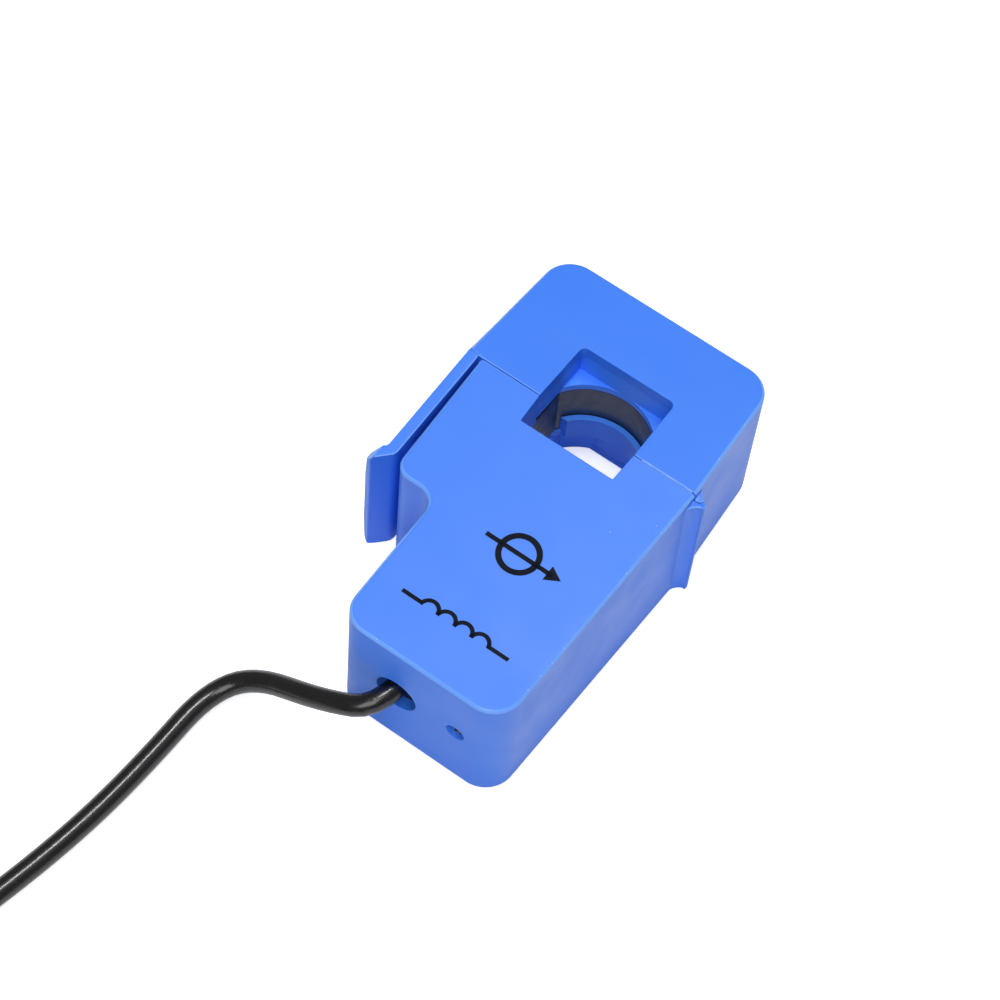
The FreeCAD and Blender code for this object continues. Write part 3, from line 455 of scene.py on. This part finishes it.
def printSymbol(name, strokes, material):
    # joins the flat strokes, gives them the ink's thickness and lays them on the sloping face
    deselectAll()
    for stroke in strokes:
        stroke.select_set(True)
    bpy.context.view_layer.objects.active = strokes[0]
    bpy.ops.object.join()
    piece = bpy.context.object
    piece.name = name
    bpy.ops.object.mode_set(mode="EDIT")
    bpy.ops.mesh.select_all(action="SELECT")
    bpy.ops.mesh.extrude_region_move(TRANSFORM_OT_translate={"value": (0, 0, printing["thick"] * mm)})
    bpy.ops.mesh.select_all(action="SELECT")
    bpy.ops.mesh.normals_make_consistent(inside=False)
    bpy.ops.object.mode_set(mode="OBJECT")
    piece.location = fromWindow((0, 0, printing["top"] - printing["sunk"]))
    piece.rotation_euler = (math.atan(printing["slope"]), 0, 0)
    bpy.ops.object.transform_apply(location=True, rotation=True)
    piece.data.materials.clear()
    piece.data.materials.append(material)
    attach(piece, "housing_body")


def makeTransformerSign(material):
    x, y = printing["ringAt"]
    printSymbol("transformerSign", [
        flatRing((x, y), printing["ring"], printing["ringStroke"]),
        flatBar((x, y), (printing["line"], printing["lineStroke"])),
        flatArrow((x + printing["line"] / 2 + printing["arrow"], y), printing["arrow"])], material)


def makeWindingSign(material):
    x, y = printing["loopsAt"]
    stroke = printing["loopStroke"]
    pitch = 2 * printing["loop"] - stroke
    middle = (printing["loops"] - 1) / 2
    reach = (pitch * printing["loops"] + stroke) / 2
    strokes = [flatRing((x + pitch * (loop - middle), y), printing["loop"], stroke, True)
               for loop in range(printing["loops"])]
    for side in (-1, 1):
        strokes.append(flatBar((x + side * (reach + (printing["lead"] - printing["lap"]) / 2), y + stroke / 2),
                               (printing["lead"] + printing["lap"], stroke)))
    printSymbol("windingSign", strokes, material)


inkMaterial = makeFinish("padPrintedInk", inkFinish)
makeTransformerSign(inkMaterial)
makeWindingSign(inkMaterial)
print("print laid on")

# Seam: a thin uneven line of flash stands along the right half of the seam.
flash = {"start": 8.0, "end": 15.2, "wide": 0.13, "tall": 0.03, "steps": 40, "wander": 0.03, "seed": 5}
# Thin ABS flash: the same blue, painted paler for the light that passes through it.
flashPaintedLightFinish = {"settings": {"IOR": 1.5}, "colours": ("#8FB8FF", "#3A81F7"), "toneSize": 0.8,
               "roughness": (0.3, 0.5), "glossSize": 0.5}


def makeSeamFlash():
    deselectAll()
    middle = (flash["start"] + flash["end"]) / 2
    height = printing["top"] - flash["tall"] / 2
    bpy.ops.mesh.primitive_cube_add(size=1, location=fromWindow((middle, 0, height)))
    piece = bpy.context.object
    piece.name = "seamFlash"
    piece.scale = Vector((flash["end"] - flash["start"], flash["wide"], flash["tall"])) * mm
    bpy.ops.object.transform_apply(location=True, scale=True)
    bpy.ops.object.mode_set(mode="EDIT")
    bpy.ops.mesh.select_all(action="DESELECT")
    bpy.ops.mesh.select_mode(type="EDGE")
    bpy.ops.object.mode_set(mode="OBJECT")
    for edge in piece.data.edges:
        one, other = (piece.data.vertices[v].co for v in edge.vertices)
        edge.select = abs(one.x - other.x) > flash["wide"] * mm
    bpy.ops.object.mode_set(mode="EDIT")
    bpy.ops.mesh.subdivide(number_cuts=flash["steps"])
    bpy.ops.mesh.select_mode(type="VERT")
    bpy.ops.mesh.select_all(action="SELECT")
    bpy.ops.transform.vertex_random(offset=flash["wander"] * mm, seed=flash["seed"])
    bpy.ops.object.mode_set(mode="OBJECT")
    return piece


seamFlash = makeSeamFlash()
# the flash's pale blue is painted light
seamFlash.data.materials.append(makeFinish("thinBlueFlashPaintedLight", flashPaintedLightFinish))
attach(seamFlash, "housing_body")
print("seam flash made")

# Turned pieces: the clamp's screw and the plug.
# A station is (distance along the axis, radius), in millimetres.
screw = {"at": (8.6, -37.9, 11.2), "face": 0.5, "seat": 1.0, "head": [(0, 0.8), (0.06, 0.98), (0.2, 1.1)],
         "shank": 0.6, "root": 0.5, "pitch": 0.45, "crest": (0.5, 0.7), "plain": (0.4, 0.6), "end": (5.9, 0.15),
         "slot": (1.3, 0.3, 0.9), "slotTurns": (30, 120), "sides": 40}
plug = {"at": (14.775, -108.0, 4.0), "turn": 70.0, "sides": 64, "smoothBelow": 35,
        "bootStart": [(0, 1.85), (0.35, 2.1)], "bootEnd": (9, 2.9), "firstRib": 1.2, "ribs": 5, "ribPitch": 1.5,
        "ribCut": 0.4, "ribSteps": (0.15, 0.6, 0.75), "ribLip": 0.06,
        "handleStart": [(9, 3.5), (9.15, 3.8), (9.5, 4.0)], "handleEnd": [(24.4, 4.0), (24.8, 3.85), (25, 3.6)],
        "firstGrip": 11, "grips": 7, "gripPitch": 1.2, "gripCut": 0.28, "gripSteps": (0.2, 0.5, 0.7),
        "collar": [(25, 2.45), (25.12, 2.6), (26.05, 2.6), (26.2, 2.45)],
        "sleeve": [(26.2, 1.7), (26.26, 1.75), (32.34, 1.75), (32.4, 1.7)],
        "ring": [(33.2, 1.7), (33.26, 1.75), (35.34, 1.75), (35.4, 1.7)],
        "tip": [(36.2, 1.7), (36.26, 1.75), (36.87, 1.75), (37.1, 1.58), (37.4, 1.36), (37.6, 1.32),
                (37.85, 1.4), (38.2, 1.6), (38.52, 1.7), (38.85, 1.62), (39.3, 1.36), (39.7, 1.06),
                (40.0, 0.76), (40.2, 0.4)]}
# Zinc-plated steel: bright, faintly blue, and it mirrors the blue wall of its recess.
screwFinish = {"settings": {"Metallic": 1.0}, "colours": ("#A3ABB8", "#8791A0"), "toneSize": 0.6,
               "roughness": (0.18, 0.32), "glossSize": 0.4, "grain": (0.15, 0.004)}
# PVC moulded over the contacts: satin black with a fine grain.
plugFinish = {"settings": {"IOR": 1.52}, "colours": ("#1C1C1E", "#232325"), "toneSize": 2,
              "roughness": (0.4, 0.55), "glossSize": 2, "grain": (0.22, 0.008)}
# Nickel plate on turned brass: bright, faintly warm, with fine scratches from use.
nickelFinish = {"settings": {"Metallic": 1.0}, "colours": ("#D8D5CC", "#C9C5BA"), "toneSize": 4,
                "roughness": (0.12, 0.26), "glossSize": 0.8, "grain": (0.3, 0.002)}


def turnedPiece(name, stations, sides):
    # drawn out from one end face to the other, station by station
    deselectAll()
    start = stations[0]
    bpy.ops.mesh.primitive_circle_add(vertices=sides, radius=start[1] * mm, fill_type="NGON",
                                      location=(0, 0, start[0] * mm))
    piece = bpy.context.object
    piece.name = name
    bpy.ops.object.transform_apply(location=True)
    bpy.ops.object.mode_set(mode="EDIT")
    bpy.ops.mesh.select_all(action="SELECT")
    for before, after in zip(stations, stations[1:]):
        bpy.ops.mesh.extrude_region_move(TRANSFORM_OT_translate={"value": (0, 0, (after[0] - before[0]) * mm)})
        scale = after[1] / before[1]
        bpy.ops.transform.resize(value=(scale, scale, 1), center_override=(0, 0, 0))
    bpy.ops.mesh.select_all(action="SELECT")
    bpy.ops.mesh.normals_make_consistent(inside=False)
    bpy.ops.object.mode_set(mode="OBJECT")
    return piece


def layAlong(piece, origin, heading):
    # turns the piece's own axis to the heading and applies it
    turn = Vector((0, 0, 1)).rotation_difference(Vector(heading))
    useOnly(piece)
    piece.rotation_mode = "QUATERNION"
    piece.rotation_quaternion = turn
    piece.location = fromWindow(origin)
    bpy.ops.object.transform_apply(location=True, rotation=True)
    bpy.ops.object.shade_smooth_by_angle(angle=math.radians(plug["smoothBelow"]))


def makeScrew():
    stations = [(screw["face"] + along, radius) for along, radius in screw["head"]]
    stations += [(screw["seat"], stations[-1][1]), (screw["seat"], screw["shank"])]
    along = screw["seat"] + screw["plain"][0]
    while along + screw["pitch"] < screw["end"][0] - screw["plain"][1]:
        stations.append((along, screw["root"]))
        stations += [(along + screw["pitch"] * part, screw["shank"]) for part in screw["crest"]]
        along += screw["pitch"]
    stations.append(screw["end"])
    piece = turnedPiece("clampScrew", stations, screw["sides"])
    for turn in screw["slotTurns"]:
        deselectAll()
        bpy.ops.mesh.primitive_cube_add(size=1, location=(0, 0, screw["face"] * mm))
        cutter = bpy.context.object
        cutter.scale = Vector(screw["slot"]) * mm
        cutter.rotation_euler = (0, 0, math.radians(turn))
        bpy.ops.object.transform_apply(location=True, rotation=True, scale=True)
        cutAway(piece, cutter)
    layAlong(piece, screw["at"], (0, 1, 0))
    return piece


def bootStations():
    # a boot that widens towards the handle, with a row of ribs
    boot = list(plug["bootStart"])
    narrow = boot[-1][1]
    length, wide = plug["bootEnd"]
    first, second, last = plug["ribSteps"]
    for rib in range(plug["ribs"]):
        along = plug["firstRib"] + rib * plug["ribPitch"]
        radius = narrow + (wide - narrow) * along / length
        boot += [(along, radius), (along + first, radius - plug["ribCut"]),
                 (along + second, radius - plug["ribCut"]), (along + last, radius + plug["ribLip"])]
    return boot + [plug["bootEnd"]]


def handleStations():
    # a straight handle with a row of grip grooves
    handle = list(plug["handleStart"])
    radius = handle[-1][1]
    first, second, last = plug["gripSteps"]
    for grip in range(plug["grips"]):
        along = plug["firstGrip"] + grip * plug["gripPitch"]
        handle += [(along, radius), (along + first, radius - plug["gripCut"]),
                   (along + second, radius - plug["gripCut"]), (along + last, radius)]
    return handle + plug["handleEnd"]


def makePlugPieces():
    heading = (math.cos(math.radians(plug["turn"])), math.sin(math.radians(plug["turn"])), 0)
    pieces = {}
    for node, name, stations in (("plug_boot", "plugBoot", bootStations()),
                                 ("plug_handle", "plugHandle", handleStations()),
                                 ("plug_collar", "plugCollar", plug["collar"]),
                                 ("plug_sleeve", "plugSleeve", plug["sleeve"]),
                                 ("plug_ring", "plugRing", plug["ring"]), ("plug_tip", "plugTip", plug["tip"])):
        piece = turnedPiece(name, stations, plug["sides"])
        layAlong(piece, plug["at"], heading)
        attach(piece, "housing_body")
        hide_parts(node)
        pieces[name] = piece
    return pieces


clampScrew = makeScrew()
clampScrew.data.materials.clear()
clampScrew.data.materials.append(makeFinish("zincPlatedSteel", screwFinish))
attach(clampScrew, "housing_body")
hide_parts("clamp_screw")
plugPieces = makePlugPieces()
plugPlastic = makeFinish("mouldedPlugPlastic", plugFinish)
nickelMaterial = makeFinish("platedNickel", nickelFinish)
for name, piece in plugPieces.items():
    soft = name in ("plugBoot", "plugHandle")
    piece.data.materials.append(plugPlastic if soft else nickelMaterial)
dress(plugPlastic, "plug_ring_gap", "plug_tip_gap")
print("screw and plug turned")

# Tie round the put-away coil: a rounded strap and its locking head.
tie = {"ease": 0.28, "head": (4.8, 4.4, 2.4), "slot": (0.9, 0.6), "headAt": (-8.325, -104.6, 6.1),
       "headEase": 0.35, "headSegments": 3}
# Nylon strap: black and waxy.
tieFinish = {"settings": {"IOR": 1.53}, "colours": ("#1E1E20", "#28282A"), "toneSize": 1.5,
             "roughness": (0.35, 0.5), "glossSize": 1, "grain": (0.4, 0.01)}


def makeTieHead():
    deselectAll()
    x, y, z = tie["headAt"]
    bpy.ops.mesh.primitive_cube_add(size=1, location=fromWindow((x, y, z + tie["head"][2] / 2)))
    piece = bpy.context.object
    piece.name = "tieHead"
    piece.scale = Vector(tie["head"]) * mm
    bpy.ops.object.transform_apply(location=True, scale=True)
    bpy.ops.object.mode_set(mode="EDIT")
    bpy.ops.mesh.select_mode(type="FACE")
    bpy.ops.mesh.select_all(action="DESELECT")
    bpy.ops.object.mode_set(mode="OBJECT")
    for face in piece.data.polygons:
        face.select = face.normal.z > 0.9
    bpy.ops.object.mode_set(mode="EDIT")
    bpy.ops.mesh.inset(thickness=tie["slot"][0] * mm)
    bpy.ops.mesh.extrude_region_move(TRANSFORM_OT_translate={"value": (0, 0, -tie["slot"][1] * mm)})
    bpy.ops.object.mode_set(mode="OBJECT")
    easeEdges(piece, tie["headEase"], tie["headSegments"], easing["smoothBelow"])
    return piece


tieMaterial = makeFinish("blackNylonStrap", tieFinish)
tieStrap = easedCopy("coil_tie", "tieStrap", tie["ease"], (tieMaterial,))
tieHead = makeTieHead()
tieHead.data.materials.append(tieMaterial)
for piece in (tieStrap, tieHead):
    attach(piece, "housing_body")
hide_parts("coil_tie")
print("cord tied")

# Inside pieces keep the shape of the solids and get their real surfaces.
insideFinishes = {
    # sintered ferrite, tumbled and ground: near black, hard, with a satin gleam and fine pores
    "groundFerrite": (("core_lower", "core_upper"), {
        "settings": {"IOR": 1.9}, "colours": ("#14171E", "#1F232B"), "toneSize": 0.35,
        "roughness": (0.3, 0.45), "glossSize": 1.2, "grain": (0.12, 0.004)}),
    # polyester film: yellow, smooth and shiny, with slight wrinkles
    "yellowPolyesterTape": (("winding_tape",), {
        "settings": {"IOR": 1.6}, "colours": ("#E3B53A", "#D9A92F"), "toneSize": 4,
        "roughness": (0.2, 0.35), "glossSize": 2, "grain": (2.0, 0.03)}),
    # glass-filled nylon, moulded: black and dull, with faint flow marks
    "mouldedBlackNylon": (("bobbin_top", "bobbin_base", "cord_clamp"), {
        "settings": {"IOR": 1.53}, "colours": ("#19191B", "#202022"), "toneSize": 3,
        "roughness": (0.45, 0.62), "glossSize": 2, "grain": (0.3, 0.01)}),
    # tinned brass: pale grey metal, soft from the solder
    "tinnedBrass": (("terminal_pins",), {
        "settings": {"Metallic": 1.0}, "colours": ("#C8CACC", "#B5B8BB"), "toneSize": 0.5,
        "roughness": (0.25, 0.4), "glossSize": 0.4, "grain": (0.3, 0.01)}),
    # thin PVC over stranded wire: soft, even colour with a dull shine
    "redWireInsulation": (("conductor_red",), {
        "settings": {"IOR": 1.52}, "colours": ("#A51F18", "#8F1A14"), "toneSize": 1,
        "roughness": (0.35, 0.5), "glossSize": 1, "grain": (0.2, 0.006)}),
    # the same in white
    "whiteWireInsulation": (("conductor_white",), {
        "settings": {"IOR": 1.52}, "colours": ("#E2E1DC", "#D3D2CC"), "toneSize": 1,
        "roughness": (0.35, 0.5), "glossSize": 1, "grain": (0.2, 0.006)})}
copper = {"colours": ("#B5652F", "#9A4A22"), "toneSize": 1, "roughness": (0.2, 0.32), "glossSize": 1,
          "wirePitch": 0.22, "waver": 0.3}
board = {"mask": ("#1E6B3C", "#1A5E35"), "fibre": 0.6, "IOR": 1.55, "roughness": (0.25, 0.4), "glossSize": 3,
         "grainDepth": 0.01}
strip = {"colours": ("#8E9196", "#7C7F84"), "lineSize": 0.3, "stretch": (0.03, 1, 1), "roughness": (0.25, 0.4),
         "grain": (0.1, 0.003)}
diode = {"colours": ("#151517", "#1D1D1F"), "toneSize": 0.6, "band": (4.4, 5.1), "bandColour": "#D9D9D6",
         "IOR": 1.55, "roughness": (0.3, 0.45), "glossSize": 0.8, "grain": (0.15, 0.005)}


def makeWindingMaterial():
    # enamelled copper wire laid turn beside turn: glossy orange bands as wide as the wire
    material, tree = startMaterial("enamelledCopper")
    place = addNode(tree, "ShaderNodeTexCoord").outputs["Object"]
    turns = addNode(tree, "ShaderNodeTexWave", {"wave_type": "BANDS", "bands_direction": "X",
                                                "Scale": math.pi / 10 / (copper["wirePitch"] * mm),
                                                "Distortion": copper["waver"]}, {"Vector": place})
    bump = addNode(tree, "ShaderNodeBump", {"Strength": 1.0, "Distance": copper["wirePitch"] / 4 * mm},
                   {"Height": turns.outputs["Fac"]})
    finishMaterial(tree, {"Metallic": 1.0}, {
        "Base Color": twoTone(tree, place, copper["toneSize"], *copper["colours"]),
        "Roughness": uneven(tree, place, copper["glossSize"], *copper["roughness"]),
        "Normal": bump.outputs[0]})
    return material


def makeBoardMaterial():
    # glass epoxy under solder mask: green and glossy, with the cloth's weave just showing
    material, tree = startMaterial("maskedGlassEpoxy")
    place = addNode(tree, "ShaderNodeTexCoord").outputs["Object"]
    weave = addNode(tree, "ShaderNodeTexChecker", {"Scale": 1 / (board["fibre"] * mm),
                                                   "Color1": toLinear(board["mask"][0]),
                                                   "Color2": toLinear(board["mask"][1])}, {"Vector": place})
    finishMaterial(tree, {"IOR": board["IOR"]}, {
        "Base Color": weave.outputs["Color"],
        "Roughness": uneven(tree, place, board["glossSize"], *board["roughness"]),
        "Normal": surfaceGrain(tree, place, board["fibre"], board["grainDepth"])})
    return material


def makeStripMaterial():
    # rolled spring steel: grey, with rolling lines along the strip
    material, tree = startMaterial("rolledSpringSteel")
    place = addNode(tree, "ShaderNodeTexCoord").outputs["Object"]
    lines = addNode(tree, "ShaderNodeMapping", {"Scale": strip["stretch"]}, {"Vector": place}).outputs[0]
    finishMaterial(tree, {"Metallic": 1.0}, {
        "Base Color": twoTone(tree, lines, strip["lineSize"], *strip["colours"]),
        "Roughness": uneven(tree, lines, strip["lineSize"], *strip["roughness"]),
        "Normal": surfaceGrain(tree, lines, *strip["grain"])})
    return material


def makeDiodeMaterial():
    # moulded epoxy: black, with the pale band at the cathode's end
    material, tree = startMaterial("bandedBlackEpoxy")
    place = addNode(tree, "ShaderNodeTexCoord").outputs["Object"]
    across = addNode(tree, "ShaderNodeSeparateXYZ", links={"Vector": place}).outputs["X"]
    start, end = diode["band"]
    past = addNode(tree, "ShaderNodeMath", {"operation": "GREATER_THAN", 1: start * mm}, {0: across})
    before = addNode(tree, "ShaderNodeMath", {"operation": "LESS_THAN", 1: end * mm}, {0: across})
    band = addNode(tree, "ShaderNodeMath", {"operation": "MULTIPLY"},
                   {0: past.outputs[0], 1: before.outputs[0]})
    body = twoTone(tree, place, diode["toneSize"], *diode["colours"])
    coloured = addNode(tree, "ShaderNodeMixRGB", {"Color2": toLinear(diode["bandColour"])},
                       {"Fac": band.outputs[0], "Color1": body})
    finishMaterial(tree, {"IOR": diode["IOR"]}, {
        "Base Color": coloured.outputs[0],
        "Roughness": uneven(tree, place, diode["glossSize"], *diode["roughness"]),
        "Normal": surfaceGrain(tree, place, *diode["grain"])})
    return material


for name, (pieces, look) in insideFinishes.items():
    dress(makeFinish(name, look), *pieces)
dress(makeWindingMaterial(), "winding", "lead_start", "lead_finish")
dress(makeBoardMaterial(), "terminal_board")
dress(makeStripMaterial(), "core_spring")
dress(makeDiodeMaterial(), "clamp_diode")
print("inside pieces dressed")
